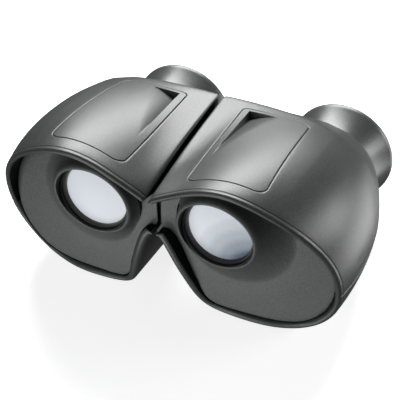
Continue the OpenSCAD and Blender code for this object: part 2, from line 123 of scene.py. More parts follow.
# Behind the crease, the skin first carries on level, as far as this beside the groove and elsewhere
CREASE_RUN = 0.6
BEHIND_CRISP, BEHIND_SOFT, BEHIND_FADE = 1.5, 3.75, (4.5, 7.5)
# The skin ends in a round collar about the eyepiece
COLLAR_R = 17
COLLAR_Y = 74.5
# Shares of the way from the crease to the collar in the two rows between: inwards and, for the second, back
BEHIND_IN, NECK_IN, NECK_BACK = 0.1, 0.62, 0.8
# Thickness of the covers and of the front panel
WALL = 1.8
PANEL_T = 1.6
# The column of the seam between the covers
SEAM = 9.2
# Where the halves face each other, the shell's front edge is set back behind the panel: fully up to the first
# column, and not at all from the second
SET_BACK_START, SET_BACK_END = 1.5, 2.35
SET_BACK_GAP = 0.35
# The wall of the centre groove ends at this column, and at this row
GROOVE_END = 2.3
GROOVE_BACK = 4.6
# The inside of the rim carries painted shade up to the seam, and again from this column. Behind it, so do the
# groove's wall and the last columns at the notch's apex.
SHADE_AGAIN_FROM = 13.8
APEX_WALL = 0.2


def mix(a, b, t):
    return a + (b - a) * t


def ramp(x, x0, x1):
    """From 0 at x0 to 1 at x1, with level ends."""
    t = np.clip((np.asarray(x, float) - x0) / (x1 - x0), 0, 1)
    return t * t * (3 - 2 * t)


def unit(v):
    return v / np.maximum(np.linalg.norm(v, axis=-1, keepdims=True), 1e-9)


def padded(rows, axis=0):
    """Phantom end points, so that the spline reaches the first and last points."""
    rows = np.moveaxis(np.asarray(rows, float), axis, 0)
    rows = np.concatenate([[2 * rows[0] - rows[1]], rows, [2 * rows[-1] - rows[-2]]])
    return np.moveaxis(rows, 0, axis)


def spline_weights(t):
    """Weights of four neighbouring control points at the share t between the middle two."""
    cubics = [(1 - t) ** 3, 3 * t ** 3 - 6 * t * t + 4, -3 * t ** 3 + 3 * t * t + 3 * t + 1, t ** 3]
    return np.stack(cubics) / 6


def along(points, s):
    """Points on one spline at the places s."""
    q = padded(points)
    i = np.minimum(np.floor(s).astype(int), len(q) - 4)
    w = spline_weights(s - i)
    return sum(w[k].reshape(w[k].shape + (1,) * (q.ndim - 1)) * q[i + k] for k in range(4))


def at_columns(points, c):
    """Points on the rim's or the crease's spline at the columns c."""
    share = (np.asarray(c, float) - CRISP_START) / (CRISP_END - CRISP_START)
    return along(points, c + np.clip(share, 0, 1))


def rim_y(p):
    """How far back the rim lies at the points p of the front view."""
    u, w = p[..., 0] / 30, p[..., 1] / 30
    return -0.4 - 9.8 * u - 5.3 * w + 6.3 * u * u - 0.8 * u * w + 3.8 * w * w


def panel_y(p):
    """How far back the front panel lies at the points p of the front view."""
    u, w = p[..., 0] / 30, p[..., 1] / 30
    return 4.8 + 2.7 * u - 0.6 * w + 0.8 * u * u + 1.1 * u * w + 2.6 * w * w


def lift(p, y):
    """Puts the points p of the front view at the depth y."""
    return np.stack([p[..., 0], y + 0 * p[..., 0], p[..., 1]], -1)


def set_back(c):
    """How much of the set-back the columns c have, as a share."""
    return 1 - np.clip((c - SET_BACK_START) / (SET_BACK_END - SET_BACK_START), 0, 1)


def skin_rows(c):
    """The control points of the columns c, from the rim to the collar behind the crease."""
    front, crease = at_columns(RIM, c), at_columns(CREASE, c)
    out = unit(front - SWELL_CENTRE) * along(SWELL, c)[:, None]
    round_eye = EYE + COLLAR_R * unit(crease - EYE)
    tip_y = rim_y(front) - TIP_REACH * ramp(c, *TIP_FADE) - LOW_REACH * ramp(c, *LOW_RISE) * ramp(c, *LOW_FADE)
    front_y = mix(tip_y, panel_y(front) + PANEL_T + SET_BACK_GAP, set_back(c))
    rows = []
    for (back, change, swelling), height in zip(STATIONS, ARCH):
        row = lift(mix(front, crease, change) + out * swelling, mix(front_y, CREASE_Y, back))
        row[:, 2] += height * (ramp(c, *ARCH_RISE) * ramp(c, *ARCH_FALL))
        rows.append(row)
    rows.append(lift(crease, CREASE_Y + CREASE_RUN))
    crisp = 1 - ramp(c, *BEHIND_FADE)
    behind_y = mix(CREASE_Y + BEHIND_SOFT, CREASE_Y + BEHIND_CRISP, crisp)
    rows.append(lift(mix(crease, round_eye, BEHIND_IN), behind_y))
    rows.append(lift(mix(crease, round_eye, NECK_IN), mix(CREASE_Y, COLLAR_Y, NECK_BACK)))
    rows.append(lift(round_eye, COLLAR_Y))
    return padded(np.stack(rows, 1), 1)


def skin(c, v):
    """Points on the outer skin: c counts columns round the outline, v stations from rim to collar."""
    c, v = np.broadcast_arrays(np.asarray(c, float), np.asarray(v, float))
    flat_c, flat_v = c.ravel(), v.ravel()
    rows = skin_rows(flat_c)
    i = np.minimum(np.floor(flat_v).astype(int), rows.shape[1] - 4)
    w = spline_weights(flat_v - i)
    n = np.arange(len(flat_c))
    return sum(w[k][:, None] * rows[n, i + k] for k in range(4)).reshape(c.shape + (3,))


def inward(c, v):
    """Unit normals of the skin that point into the shell."""
    c, v = np.broadcast_arrays(np.asarray(c, float), np.asarray(v, float))
    c0, c1 = np.maximum(c - STEP, 0), np.minimum(c + STEP, LAST_COLUMN)
    v0, v1 = np.maximum(v - STEP, 0), np.minimum(v + STEP, LAST_ROW)
    return unit(np.cross(skin(c, v1) - skin(c, v0), skin(c1, v) - skin(c0, v)))


def under(c, v, depth):
    """Points at a depth under the skin."""
    return skin(c, v) + inward(c, v) * np.asarray(depth, float)[..., None]


# --- Meshes ---

# Points closer than this, in metres, are one point
SAME_POINT = 1e-7
TURN_STEPS = 144


class Shape:
    """The points and faces of one piece, in millimetres about the datum."""

    def __init__(self):
        self.points, self.faces, self.marks = [], [], []
        self.count = 0

    def add(self, points):
        """Adds an array of points and gives their numbers in the same arrangement."""
        points = np.asarray(points, float)
        shape = points.shape[:-1]
        numbers = np.arange(self.count, self.count + int(np.prod(shape))).reshape(shape)
        self.points.append(points.reshape(-1, 3))
        self.count += numbers.size
        return numbers

    def face(self, numbers, mark=0):
        self.faces.append([int(n) for n in numbers])
        self.marks.append(mark)

    def sheet(self, grid, wrap_rows=False, wrap_cols=False, hole=None, marks=None):
        """Quads between neighbours in a grid of point numbers; hole(i, j) is True where none goes.

        marks gives each quad's material number in the same arrangement.
        """
        rows, cols = grid.shape
        for i in range(rows if wrap_rows else rows - 1):
            for j in range(cols if wrap_cols else cols - 1):
                if hole and hole(i, j):
                    continue
                i1, j1 = (i + 1) % rows, (j + 1) % cols
                mark = 0 if marks is None else marks[i][j]
                self.face((grid[i, j], grid[i, j1], grid[i1, j1], grid[i1, j]), mark)


def rim_of(grid):
    """The numbers on the border of a grid, in order round it."""
    return np.concatenate([grid[0, :-1], grid[:-1, -1], grid[-1, :0:-1], grid[:0:-1, 0]])


def make(shape, half, name, body, node, slot, materials, crease_angle=40):
    """Turns a shape into an object on a body of one half, in place of a CAD node; mirrored for the right half.

    The skin is finer than the CAD covers and stands a fraction of a millimetre outside their box in places, so
    the points are clipped to the CAD box.
    """
    name = f"{half}_{name}"
    points = np.clip((np.concatenate(shape.points) * [SIDES[half], 1, 1] + DATUM) * MM, *CAD_BOX)
    mesh = bpy.data.meshes.new(name)
    mesh.from_pydata(points.tolist(), [], shape.faces)
    for material in materials:
        mesh.materials.append(material)
    mesh.polygons.foreach_set("material_index", shape.marks)
    work = bmesh.new()
    work.from_mesh(mesh)
    bmesh.ops.remove_doubles(work, verts=work.verts, dist=SAME_POINT)
    bmesh.ops.recalc_face_normals(work, faces=work.faces)
    for f in work.faces:
        f.smooth = True
    work.to_mesh(mesh)
    work.free()
    mesh.set_sharp_from_angle(angle=math.radians(crease_angle))
    piece = bpy.data.objects.new(name, mesh)
    bpy.context.scene.collection.objects.link(piece)
    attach(piece, f"{half}_{body}")
    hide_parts(f"{half}_{node}")


def turned(outline, at):
    """A closed turned piece about an axis along Y, from a closed outline of (radius, y)."""
    shape = Shape()
    t = np.linspace(0, 2 * math.pi, TURN_STEPS, endpoint=False)[:, None]
    outline = np.asarray(outline, float)
    r, y = outline[None, :, 0], outline[None, :, 1]
    points = np.stack([at[0] + r * np.cos(t), y + 0 * t, at[1] + r * np.sin(t)], -1)
    shape.sheet(shape.add(points), wrap_rows=True, wrap_cols=True)
    return shape


def arc(centre, radius, start, end, steps):
    """Points (radius, y) on an arc, angles in degrees from the radius axis towards +y."""
    t = np.radians(np.linspace(start, end, steps))
    return [(centre[0] + radius * math.cos(a), centre[1] + radius * math.sin(a)) for a in t]


# --- Materials ---

# The tone follows fine grain and cloudy noise, which has this share. It runs between two places of their sum,
# where it is these shares of the base colour.
CLOUD_SCALE = 45
CLOUD_SHARE = 0.35
TONE_PLACES = (0.46, 0.88)
TONE_SHARES = (0.62, 1.4)
ROUGHNESS_SPREAD = 0.06
RELIEF_HEIGHT = 0.00004


def node_material(name, base, rough, grain, bump, **sockets):
    """A moulded or painted surface: cloudy tone, fine grain in the tone, the roughness and the relief."""
    material = bpy.data.materials.new(name)
    material.use_nodes = True
    tree = material.node_tree
    nodes, links = tree.nodes, tree.links
    shader = nodes["Principled BSDF"]
    place = nodes.new("ShaderNodeTexCoord")
    cloud = nodes.new("ShaderNodeTexNoise")
    cloud.inputs["Scale"].default_value = CLOUD_SCALE
    cloud.inputs["Detail"].default_value = 3
    fine = nodes.new("ShaderNodeTexNoise")
    fine.inputs["Scale"].default_value = grain
    fine.inputs["Detail"].default_value = 2
    links.new(place.outputs["Object"], cloud.inputs["Vector"])
    links.new(place.outputs["Object"], fine.inputs["Vector"])
    both = nodes.new("ShaderNodeMath")
    both.operation = "MULTIPLY_ADD"
    both.inputs[1].default_value = CLOUD_SHARE
    links.new(cloud.outputs["Fac"], both.inputs[0])
    links.new(fine.outputs["Fac"], both.inputs[2])
    tone = nodes.new("ShaderNodeValToRGB")
    for element, position, share in zip(tone.color_ramp.elements, TONE_PLACES, TONE_SHARES):
        element.position = position
        element.color = [min(1, c * share) for c in base] + [1]
    links.new(both.outputs[0], tone.inputs["Fac"])
    links.new(tone.outputs["Color"], shader.inputs["Base Color"])
    spread = nodes.new("ShaderNodeMapRange")
    spread.inputs["To Min"].default_value = rough - ROUGHNESS_SPREAD
    spread.inputs["To Max"].default_value = rough + ROUGHNESS_SPREAD
    links.new(fine.outputs["Fac"], spread.inputs["Value"])
    links.new(spread.outputs["Result"], shader.inputs["Roughness"])
    relief = nodes.new("ShaderNodeBump")
    relief.inputs["Strength"].default_value = bump
    relief.inputs["Distance"].default_value = RELIEF_HEIGHT
    links.new(fine.outputs["Fac"], relief.inputs["Height"])
    links.new(relief.outputs["Normal"], shader.inputs["Normal"])
    for socket, value in sockets.items():
        shader.inputs[socket.replace("_", " ")].default_value = value
    return material


# The glass's tone is a painted reflection: it goes deeper within 1 / GLASS_FALL metres of a point and has faint
# painted reflection rings, and specks of grain
GLASS_FALL = 48
REFLECTION_RING_SCALE = 1.6
REFLECTION_RING_SHARE = 0.04
SPECK_SCALE = 1500
SPECK_SHARE = 0.08
GLASS_PLACES = (0.08, 0.8)


def glass_material(name, light, deep, dark_at, contrast, mirror, glow):
    """Coated glass with a painted reflection from light to deep towards the point (x, z); glow is the share of
    its tone given off as painted light.
    """
    material = bpy.data.materials.new(name)
    material.use_nodes = True
    tree = material.node_tree
    nodes, links = tree.nodes, tree.links
    shader = nodes["Principled BSDF"]
    place = nodes.new("ShaderNodeTexCoord")
    turn = nodes.new("ShaderNodeMapping")
    turn.vector_type = "POINT"
    turn.inputs["Location"].default_value = (-dark_at[0] * GLASS_FALL, 0, -dark_at[1] * GLASS_FALL)
    turn.inputs["Scale"].default_value = (GLASS_FALL, 0, GLASS_FALL)
    links.new(place.outputs["Object"], turn.inputs["Vector"])
    fall = nodes.new("ShaderNodeTexGradient")
    fall.gradient_type = "SPHERICAL"
    links.new(turn.outputs["Vector"], fall.inputs["Vector"])
    rings = nodes.new("ShaderNodeTexWave")
    rings.wave_type = "RINGS"
    rings.rings_direction = "SPHERICAL"
    rings.inputs["Scale"].default_value = REFLECTION_RING_SCALE
    rings.inputs["Distortion"].default_value = 0.6
    links.new(turn.outputs["Vector"], rings.inputs["Vector"])
    speck = nodes.new("ShaderNodeTexNoise")
    speck.inputs["Scale"].default_value = SPECK_SCALE
    links.new(place.outputs["Object"], speck.inputs["Vector"])
    faint = nodes.new("ShaderNodeMath")
    faint.operation = "MULTIPLY_ADD"
    faint.inputs[1].default_value = REFLECTION_RING_SHARE * contrast
    links.new(rings.outputs["Fac"], faint.inputs[0])
    links.new(fall.outputs["Fac"], faint.inputs[2])
    grainy = nodes.new("ShaderNodeMath")
    grainy.operation = "MULTIPLY_ADD"
    grainy.inputs[1].default_value = SPECK_SHARE
    links.new(speck.outputs["Fac"], grainy.inputs[0])
    links.new(faint.outputs[0], grainy.inputs[2])
    tone = nodes.new("ShaderNodeValToRGB")
    for element, position, colour in zip(tone.color_ramp.elements, GLASS_PLACES, (light, deep)):
        element.position = position
        element.color = colour + (1,)
    links.new(grainy.outputs[0], tone.inputs["Fac"])
    links.new(tone.outputs["Color"], shader.inputs["Base Color"])
    shader.inputs["Metallic"].default_value = mirror
    shader.inputs["Roughness"].default_value = 0.25
    # The glass gives off its own tone as a painted glow
    links.new(tone.outputs["Color"], shader.inputs["Emission Color"])
    shader.inputs["Emission Strength"].default_value = glow
    shader.inputs["Specular IOR Level"].default_value = 0.25
    return material


SHELL = node_material("shell_plastic", (0.057, 0.063, 0.06), 0.39, 2600, 0.8, Specular_IOR_Level=0.62)
PAD = node_material("pad_plastic", (0.061, 0.067, 0.064), 0.41, 2900, 0.8, Specular_IOR_Level=0.62)
PANEL = node_material("panel_plastic", (0.094, 0.103, 0.098), 0.46, 2600, 0.7, Specular_IOR_Level=0.5)
# Painted shade: a near-black copy of the plastic, put where shade falls behind the rim, on the groove's walls,
# in the throat and along the split
PAINTED_SHADE = node_material("painted_shade_plastic", (0.006, 0.007, 0.007), 0.6, 2600, 0.3, Specular_IOR_Level=0.12)
CUP = node_material("eyecup_plastic", (0.092, 0.098, 0.095), 0.36, 3000, 0.3, Specular_IOR_Level=0.7)
BLACK = node_material("black_paint", (0.008, 0.009, 0.009), 0.4, 4000, 0.3, Specular_IOR_Level=0.2)
RING = node_material("ring_paint", (0.035, 0.032, 0.03), 0.34, 4000, 0.25, Specular_IOR_Level=0.5)
FRAME = node_material("frame_plastic", (0.02, 0.02, 0.02), 0.5, 3000, 0.4, Specular_IOR_Level=0.4)
HINGE = node_material("hinge_paint", (0.025, 0.025, 0.025), 0.32, 3500, 0.25, Specular_IOR_Level=0.5)
NYLON = node_material("nylon", (0.62, 0.6, 0.55), 0.5, 2500, 0.3)
STEEL = node_material("steel", (0.55, 0.54, 0.52), 0.3, 5000, 0.2, Metallic=1.0)
PRISM = node_material("prism_glass", (0.5, 0.56, 0.58), 0.1, 3000, 0.05)


def glass_for(half, dark_x, dark_z, contrast):
    """The coated glass of one objective: the deeper part of its painted reflection lies towards (dark_x, dark_z)
    from the centre.
    """
    dark_at = ((SIDES[half] * LENS[0] + dark_x) * MM, (DATUM[2] + dark_z) * MM)
    return glass_material(f"objective_glass_{half}", (0.47, 0.50, 0.53), (0.07, 0.095, 0.13),
                          dark_at, contrast, mirror=0.0, glow=0.72)


# Each objective's painted reflection deepens towards its own point, and the objectives glow with painted light
OBJECTIVE_GLASS = {"right": glass_for("right", -26, -16, 0.5), "left": glass_for("left", 11, -12, 1.0)}
# The eye lens has the same painted reflection and rings, with no painted glow
EYE_GLASS = glass_material("eye_glass", (0.22, 0.26, 0.33), (0.03, 0.04, 0.06), (0, 0), 0.6,
                           mirror=0.3, glow=0.0)

# --- Covers ---

# The pad's front and back rows, and the columns of its sides at row 0 and at row SIDES_ROW
PAD_ROWS = (0.6, 3.95)
PAD_INNER, PAD_OUTER, SIDES_ROW = (3.93, 3.82), (5.9, 5.55), 4
PAD_MIDDLE_ROW = 2.2
# Quads along the edges of the pad's recess, and how far past it its window in the skin goes, as shares
PAD_EDGE_COLS, PAD_EDGE_ROWS = 40, 60
WINDOW_COLS, WINDOW_ROWS = 0.055, 0.03
# Between these rows, the lower cover's columns from RELIEF_START on are drawn together, away from the hinge.
# The web behind the front panel's inner edge still touches the front end of the hinge.
RELIEF_ROWS = (0.57, 5.2)
RELIEF_START = 16.35
RELIEF_SHARE = 0.12
# Radius of the pad's corners, by the signs of p - 0.5 and q - 0.5
CORNER_R = {(-1, -1): 3.6, (1, -1): 3.8, (-1, 1): 2.4, (1, 1): 3.0}
# A cover's rounded edge: distance from the edge and depth under the skin
EDGE_STEPS = ((0, 0.4), (0.08, 0.16), (0.2, 0.054), (0.4, 0))
# The row and the stretch of columns at which that distance is measured
EDGE_ROW, EDGE_PROBE = 2.0, 0.05


def pad_inner(v):
    return mix(*PAD_INNER, v / SIDES_ROW)


def pad_outer(v):
    return mix(*PAD_OUTER, v / SIDES_ROW)


def pad_column(p, v):
    """The column at the share p of the pad's width."""
    return mix(pad_inner(v), pad_outer(v), p)


def pad_row(q):
    """The row at the share q of the pad's length."""
    return mix(*PAD_ROWS, q)


def length(a, b):
    return float(np.linalg.norm(a - b))


PAD_W = length(*[skin(side(PAD_MIDDLE_ROW), PAD_MIDDLE_ROW) for side in (pad_inner, pad_outer)])
PAD_H = length(*[skin(pad_column(0.5, v), v) for v in PAD_ROWS])

# The thumb scoop: a pit in the pad's inner back corner, walled on two sides
SCOOP_INNER = 2.4
SCOOP_BACK = 2.2
SCOOP_W = 12.5
SCOOP_L = 30
SCOOP_DEPTH = 3.2
SCOOP_POWER = 1.5
# The walls' slope starts and ends at these distances from their line
SCOOP_WALL = (-0.12, 0.14)


def scoop(p, q):
    """Depth of the thumb scoop under the pad's surface, from the pad's own place p, q."""
    across = p * PAD_W - SCOOP_INNER
    forward = PAD_H - SCOOP_BACK - q * PAD_H
    share = 1 - np.maximum(across, 0) / SCOOP_W - np.maximum(forward, 0) / SCOOP_L
    pit = SCOOP_DEPTH * np.clip(share, 0, 1) ** SCOOP_POWER
    return pit * ramp(across, *SCOOP_WALL) * ramp(forward, *SCOOP_WALL)


def rounded(p, q, inset=0.0):
    """Rounds the corners of the pad's square: a corner's square becomes a quarter disc."""
    x, y = (p - 0.5) * (PAD_W - 2 * inset), (q - 0.5) * (PAD_H - 2 * inset)
    r = np.zeros_like(x)
    for (sx, sy), radius in CORNER_R.items():
        r = np.where((np.sign(x) == sx) & (np.sign(y) == sy), radius - inset, r)
    dx = np.abs(x) - (PAD_W / 2 - inset - r)
    dy = np.abs(y) - (PAD_H / 2 - inset - r)
    corner = (dx > 0) & (dy > 0) & (r > 0)
    share = np.where(corner, np.maximum(dx, dy) / np.maximum(np.hypot(dx, dy), 1e-9), 1)
    x = np.where(corner, np.sign(x) * (PAD_W / 2 - inset - r + dx * share), x)
    y = np.where(corner, np.sign(y) * (PAD_H / 2 - inset - r + dy * share), y)
    return x / PAD_W + 0.5, y / PAD_H + 0.5


def on_pad(p, q, depth):
    """Points at a depth under the skin, at the pad's own places p, q."""
    v = pad_row(q)
    return under(pad_column(p, v), v, depth)


def bead_radius(c):
    """Radius of the bead along the shell's front edge."""
    return np.interp(c, [0, SET_BACK_END, 2.4, 2.5, 3.2, 8, 10, 14, 15, 17.6, 18],
                     [0.3, 0.3, 0.7, 0.9, 0.95, 1.0, 1.2, 1.3, 1.7, 1.6, 0.4])


def bead_crease(c):
    """How deep the line behind the bead is, as a share."""
    return np.interp(c, [0, SET_BACK_END, 2.75, 5.6, 7.6, SEAM, 18], [0, 0, 0.25, 0.25, 0.15, 0.1, 0])


# How far inside the rim the front panel ends at each column, and the least x that its inner edge keeps to
INSET = [0.15, 0.15, 0.15, 2.3, 2.4, 2.4, 2.2, 1.8, 1.6, 2.1, 3.2, 4.2, 4, 3, 2.6, 3, 3.6, 3.2, 1.2]
INNER_EDGE_X, INNER_EDGE_LEAN = 0.45, 0.02


def panel_edge(c, slack=0.0):
    """Where the front panel ends inside the rim, in the front view."""
    c0, c1 = np.maximum(c - STEP, 0), np.minimum(c + STEP, LAST_COLUMN)
    t = unit(at_columns(RIM, c1) - at_columns(RIM, c0))
    p = at_columns(RIM, c) + (along(INSET, c) - slack)[:, None] * np.stack([t[:, 1], -t[:, 0]], -1)
    p[:, 0] = np.maximum(p[:, 0], INNER_EDGE_X + INNER_EDGE_LEAN * (p[:, 1] - HINGE_Z))
    return p


# The shell's skin ends in a bead. BEAD_LINES are the last lines of the skin behind it: how far beyond the bead's
# width, and with which share of the crease's depth. Then come the angles of the bead's arc and its inner foot,
# in radii. BEAD_PROBE is the stretch of rows over which lengths are measured.
BEAD_LINES = ((0.5, 0), (0.3, 0.1), (0.16, 0.45), (0.02, 0.6))
BEAD_ANGLES = np.radians(np.linspace(62, -180, 13))
BEAD_FOOT = 1.9
BEAD_PROBE = 0.5
# So many of the bead's last lines carry painted shade
BEAD_SHADE_LINES = 3
# How deep the skin's first two rows are drawn in at the collar
COLLAR_TUCK = (0.35, 0.08)
# Clearance between the panel's edge and the wall behind the rim, and how far that wall overruns the panel to
# the front and to the back
PANEL_SLACK = 0.12
WALL_AHEAD, WALL_BEYOND = 0.4, 0.8
# The inner skin starts this far behind the panel's front, at a row between these limits
INNER_BEHIND, ROW_LENGTH, INNER_LIMITS = 3.5, 10.4, (0.35, 1.6)
# How far the shell is thickened under the pad, besides the scoop, and the edges of that, as shares of the pad
UNDER_PAD = 0.4
POCKET_COLS, POCKET_ROWS = (-0.16, -0.06), (-0.1, -0.04)


def section(columns, end_depth, outer_v, inner_rows):
    """The cover's cross-section along each column: outer skin, bead, wall behind it and inner skin.

    columns(v) gives every column's c at v. Returns the points and where the painted shade on the wall starts and
    ends.
    """
    c_outer = np.stack([columns(v) for v in outer_v], 1)
    depth = np.repeat(end_depth[:, None], len(outer_v), 1)
    depth[:, :2] += COLLAR_TUCK
    outer = under(c_outer, np.broadcast_to(outer_v, c_outer.shape), depth)
    c = columns(0.0)
    speed = np.linalg.norm(skin(c, BEAD_PROBE) - skin(c, 0.0), axis=-1) / BEAD_PROBE
    r, crease = bead_radius(c), bead_crease(c)
    profile = [(2 * r + distance, share * crease) for distance, share in BEAD_LINES]
    for angle in BEAD_ANGLES:
        drop = r - r * math.cos(angle)
        profile.append((r + r * math.sin(angle), drop * crease if angle > 0 else drop))
    bead = [under(c, a / speed, d + end_depth) for a, d in profile]
    back = under(c, BEAD_FOOT * r / speed, BEAD_FOOT * r + end_depth)
    to_panel = panel_y(at_columns(RIM, c)) - skin(c, 0.0)[:, 1]
    v_in = np.clip((to_panel + INNER_BEHIND) / ROW_LENGTH, *INNER_LIMITS)
    v_inner = [mix(v_in, LAST_ROW, k / (inner_rows - 1)) for k in range(inner_rows)]
    inner = []
    for v in v_inner:
        c_in = columns(v)
        p = (c_in - pad_inner(v)) / (pad_outer(v) - pad_inner(v))
        q = (v - PAD_ROWS[0]) / (PAD_ROWS[1] - PAD_ROWS[0])
        across = ramp(p, *POCKET_COLS) * ramp(1 - p, *POCKET_COLS)
        lengthways = ramp(q, *POCKET_ROWS) * ramp(1 - q, *POCKET_ROWS)
        inner.append(under(c_in, v, WALL + across * lengthways * (UNDER_PAD + scoop(p, q))))
    edge = panel_edge(c, PANEL_SLACK)
    near = lift(edge, panel_y(edge) - WALL_AHEAD)
    far = lift(edge, panel_y(edge) + PANEL_T + WALL_BEYOND)
    # Where the shell's edge is set back, the wall runs straight from the bead to the inner skin
    aside = set_back(c)[:, None]
    near = mix(near, mix(back, inner[0], 0.3), aside)
    far = mix(far, mix(back, inner[0], 0.7), aside)
    wall = [back, mix(back, near, 0.5), near, far]
    points = np.concatenate([outer, np.stack(bead + wall + inner, 1)], 1)
    wall_from = len(outer_v) + len(bead)
    # The painted shade starts on the bead's last lines
    return points, wall_from - BEAD_SHADE_LINES, wall_from + len(wall)


def end_offsets(c_end, direction):
    """Columns close to an end, and how far each is drawn in so that the edge is rounded."""
    speed = length(skin(c_end, EDGE_ROW), skin(c_end + direction * EDGE_PROBE, EDGE_ROW)) / EDGE_PROBE
    return [c_end + direction * s[0] / speed for s in EDGE_STEPS], [s[1] for s in EDGE_STEPS]


def body_columns(first, last, step, c_dense=()):
    """Columns between two places, with rounded ends and closer spacing inside c_dense."""
    head, head_depth = end_offsets(first, 1)
    tail, tail_depth = end_offsets(last, -1)
    middle = []
    c = head[-1] + step
    while c < tail[-1] - step / 2:
        middle.append(c)
        c += step / 3 if any(a <= c < b for a, b in c_dense) else step
    return np.array(head + middle + tail[::-1]), np.array(head_depth + [0] * len(middle) + tail_depth[::-1])


def painted_shade_parts(shape, c, outer_v, first, last):
    """Marks the faces behind the rim and the walls of the centre groove, which get painted shade."""
    marks = np.zeros(shape, int)
    # Painted shade inside the rim, and below it on the groove's wall and at the notch's apex
    marks[(c < SEAM) | (c > SHADE_AGAIN_FROM), first:last] = 1
    wall = (c < GROOVE_END) | (c > LAST_COLUMN - APEX_WALL)
    marks[:, :len(outer_v)][np.ix_(wall, np.asarray(outer_v) < GROOVE_BACK)] = 1
    return marks


# Rows of the skin behind and in front of the pad
REAR_V = [8, 7.975, 7.93] + list(np.linspace(7.8, 5.6, 14)) + list(np.linspace(5.45, 4.2, 12))
FRONT_V = [0.455, 0.41, 0.37]
# The upper cover's columns end at the pad's window, and are closer on the shoulder beside the groove. Its edge
# is rounded before the first and after the second of the MIDDLE columns.
WINDOW_FROM, WINDOW_TO = 3.72, 6.15
BEFORE_MIDDLE, AFTER_MIDDLE = 1, 8
UPPER_STEP, SHOULDER_DENSE = 0.075, (2.1, 3.0)
# From this row on, the pad's columns no longer follow its sides
PAD_FOLLOW = 5
# The recess from its window to the foot of its wall: shares of the way to the pad's outline, and depths
RECESS = ((0.35, 0), (0.6, 0), (0.78, 0.01), (0.88, 0.05), (0.96, 0.14), (1, 0.3), (1, 0.7))
RECESS_DEPTH = 1.2


def upper_cover(half):
    """The upper cover, with the pad's recess as a window in its skin."""
    before, before_depth = body_columns(0, WINDOW_FROM, UPPER_STEP, [SHOULDER_DENSE])
    after, after_depth = body_columns(WINDOW_TO, SEAM, UPPER_STEP)
    # The ends at the window aren't rounded
    extra = len(EDGE_STEPS) - 1
    before, before_depth = before[:-extra], before_depth[:-extra] * (before[:-extra] < BEFORE_MIDDLE)
    after, after_depth = after[extra:], after_depth[extra:] * (after[extra:] > AFTER_MIDDLE)
    window = np.linspace(-WINDOW_COLS, 1 + WINDOW_COLS, PAD_EDGE_COLS + 1)
    k0, k1 = len(before), len(before) + PAD_EDGE_COLS
    fixed = np.concatenate([before, 0 * window, after])
    on_window = np.concatenate([0 * before, window, 0 * after])
    index = np.arange(len(fixed))

    def columns(v):
        return np.where((index >= k0) & (index <= k1), pad_column(on_window, np.minimum(v, PAD_FOLLOW)), fixed)

    end_depth = np.concatenate([before_depth, 0 * window, after_depth])
    window_q = np.linspace(1 + WINDOW_ROWS, -WINDOW_ROWS, PAD_EDGE_ROWS + 1)
    outer_v = np.array(REAR_V + list(pad_row(window_q)) + FRONT_V)
    j0, j1 = len(REAR_V), len(REAR_V) + PAD_EDGE_ROWS
    points, dark0, dark1 = section(columns, end_depth, outer_v, 30)
    shape = Shape()
    grid = shape.add(points)
    marks = painted_shade_parts(grid.shape, columns(0.0), outer_v, dark0, dark1)
    shape.sheet(grid, wrap_cols=True, marks=marks, hole=lambda i, j: k0 <= i < k1 and j0 <= j < j1)
    shape.face(grid[0])
    shape.face(grid[-1])
    # The recess: rings from the window in to the rounded outline, down its wall, and its floor
    f, g = np.linspace(0, 1, PAD_EDGE_COLS + 1), np.linspace(1, 0, PAD_EDGE_ROWS + 1)
    flat_p, flat_q = np.meshgrid(f, g, indexing="ij")
    border = rim_of(np.arange(flat_p.size).reshape(flat_p.shape))
    outline = np.stack(rounded(flat_p.ravel()[border], flat_q.ravel()[border]))
    wide = np.stack([a.ravel()[border] for a in np.meshgrid(window, window_q, indexing="ij")])
    rings = [rim_of(grid[k0:k1 + 1, j0:j1 + 1])]
    for t, depth in RECESS:
        p, q = mix(wide, outline, t)
        rings.append(shape.add(on_pad(p, q, np.full(len(p), depth))))
    p, q = rounded(flat_p, flat_q)
    floor = shape.add(on_pad(p, q, RECESS_DEPTH + scoop(p, q)))
    rings.append(rim_of(floor))
    shape.sheet(np.stack(rings), wrap_cols=True)
    shape.sheet(floor)
    make(shape, half, "upper_shell", "half", "upper_cover", "shell", [SHELL, PAINTED_SHADE])


# Rows of the lower cover's skin beside the pad's length, round the relief's front end and, this far from it,
# round its back end
BESIDE_V = list(np.linspace(4.05, 0.65, 40))
RELIEF_FRONT_V = [0.58, 0.56, 0.5]
RELIEF_STEP = 0.01
# The lower cover's columns start just below the seam, and are closer at the bottom's inner edge and beside the
# hinge
SEAM_GAP, LOWER_END, LOWER_STEP = 0.012, 17.97, 0.085
LOWER_DENSE = [(13.2, 15), (16.2, 18)]


def lower_cover(half):
    """The lower cover, from the seam to the apex of the notch, with room for the hinge."""
    cols, end_depth = body_columns(SEAM + SEAM_GAP, LOWER_END, LOWER_STEP, LOWER_DENSE)

    def columns(v):
        squeezed = RELIEF_START + (cols - RELIEF_START) * RELIEF_SHARE
        within = (np.asarray(v) > RELIEF_ROWS[0]) & (np.asarray(v) < RELIEF_ROWS[1])
        return np.where(within & (cols > RELIEF_START), squeezed, cols)

    relief_edge = [RELIEF_ROWS[1] + RELIEF_STEP, RELIEF_ROWS[1] - RELIEF_STEP]
    rows = sorted(REAR_V + relief_edge + BESIDE_V + RELIEF_FRONT_V + FRONT_V)[::-1]
    points, dark0, dark1 = section(columns, end_depth, np.array(rows), 24)
    shape = Shape()
    grid = shape.add(points)
    marks = painted_shade_parts(grid.shape, columns(0.0), rows, dark0, dark1)
    shape.sheet(grid, wrap_cols=True, marks=marks)
    shape.face(grid[0])
    shape.face(grid[-1])
    make(shape, half, "lower_shell", "half", "lower_cover", "shell", [SHELL, PAINTED_SHADE])


# --- Top pad ---

